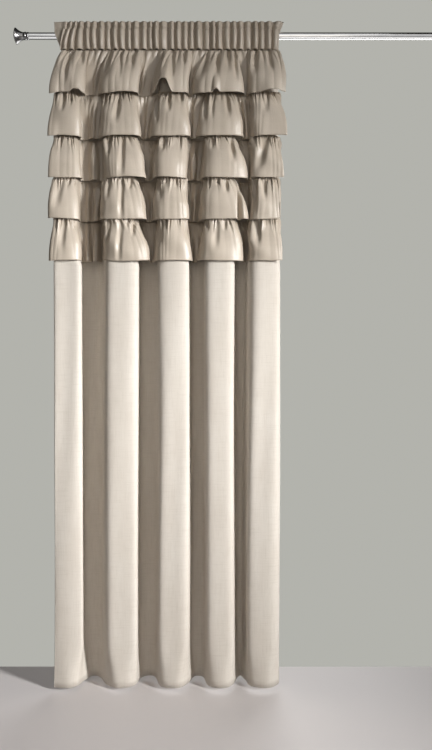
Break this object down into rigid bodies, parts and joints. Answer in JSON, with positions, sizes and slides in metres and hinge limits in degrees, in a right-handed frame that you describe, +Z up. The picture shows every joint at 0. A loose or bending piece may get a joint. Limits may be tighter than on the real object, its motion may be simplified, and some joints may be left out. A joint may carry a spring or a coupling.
{
  "type": "ruffled curtain panel on a curtain rod",
  "caption": "Floor-length curtain panel in soft folds, with a gathered rod pocket and tiers of ruffles over its top, hung on a steel rod with trumpet-shaped ends.",
  "frame": {"origin": "on the rod's axis, at the middle of the rod's length", "axes": "+X along the rod, to the right as seen from the front; +Z up; the front of the cloth faces -Y and the wall is on the +Y side"},
  "size_m": [1.714, 0.1296, 2.5007],
  "materials": {
    "cream_cloth": "soft short-pile velvet, cream",
    "beige_cloth": "satin-faced short-pile velvet, taupe beige",
    "steel": "polished"
  },
  "bodies": {
    "root": {"panel": "cream_cloth", "heading": "beige_cloth", "ruffle_1": "beige_cloth", "ruffle_2": "beige_cloth", "ruffle_3": "beige_cloth", "ruffle_4": "beige_cloth", "ruffle_5": "beige_cloth", "rod": "steel", "finial_left": "steel", "finial_right": "steel"}
  },
  "joints": []
}
